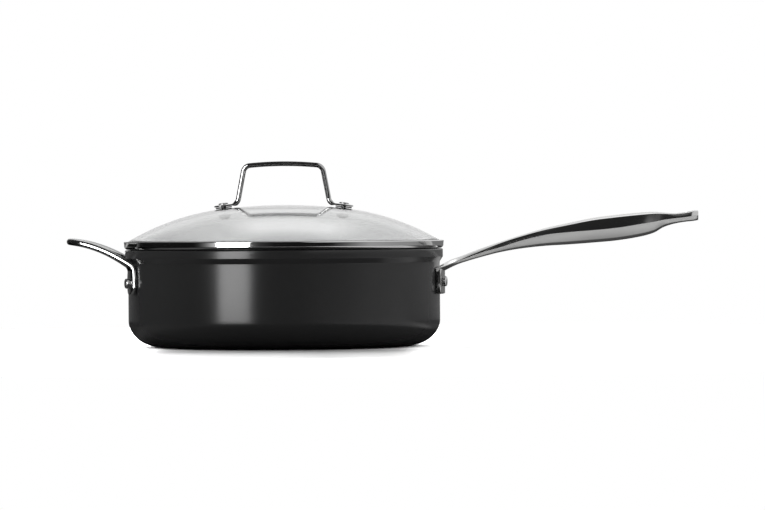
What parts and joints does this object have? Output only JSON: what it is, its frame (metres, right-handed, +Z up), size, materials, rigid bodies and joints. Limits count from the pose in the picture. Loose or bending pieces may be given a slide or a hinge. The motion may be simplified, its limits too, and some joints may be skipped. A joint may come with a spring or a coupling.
{
  "type": "saute pan with lid",
  "caption": "Deep round black saute pan with a riveted long steel handle, a riveted steel helper loop and a domed glass lid with a steel rim band and strap handle.",
  "frame": {"origin": "on the pan's axis at the underside of the base disc", "axes": "+X along the long handle, +Z up along the pan's axis, +Y completes the right-handed frame"},
  "size_m": [0.5423, 0.2748, 0.1589],
  "materials": {
    "hard_black_aluminium": "satin black hard-anodised, fine grain",
    "base_steel": "turned steel, fine rings",
    "cast_steel": "polished top, fine brushed belly",
    "rivet_steel": "polished",
    "band_steel": "mirror polished",
    "lid_glass": "clear tempered glass",
    "clear_silicone": "milky silicone",
    "black_silicone": "matt black silicone"
  },
  "bodies": {
    "pan": {"pan_body": "hard_black_aluminium", "base_disc": "base_steel", "long_handle": "cast_steel", "long_handle_rivet_near": "rivet_steel", "long_handle_rivet_far": "rivet_steel", "helper_handle": "cast_steel", "helper_handle_rivet_near": "rivet_steel", "helper_handle_rivet_far": "rivet_steel"},
    "lid": {"lid_glass": "lid_glass", "lid_band": "band_steel", "lid_band_seal": "clear_silicone", "lid_handle": "band_steel", "lid_rivet_left": "rivet_steel", "lid_rivet_right": "rivet_steel", "foot_gasket_left": "black_silicone", "foot_gasket_right": "black_silicone", "under_gasket_left": "clear_silicone", "under_gasket_right": "clear_silicone", "under_washer_left": "rivet_steel", "under_washer_right": "rivet_steel"}
  },
  "joints": [
    {"name": "lid_lift", "type": "slide", "parent": "pan", "child": "lid", "axis": [0, 0, 1], "range_m": [0, 0.12]}
  ]
}
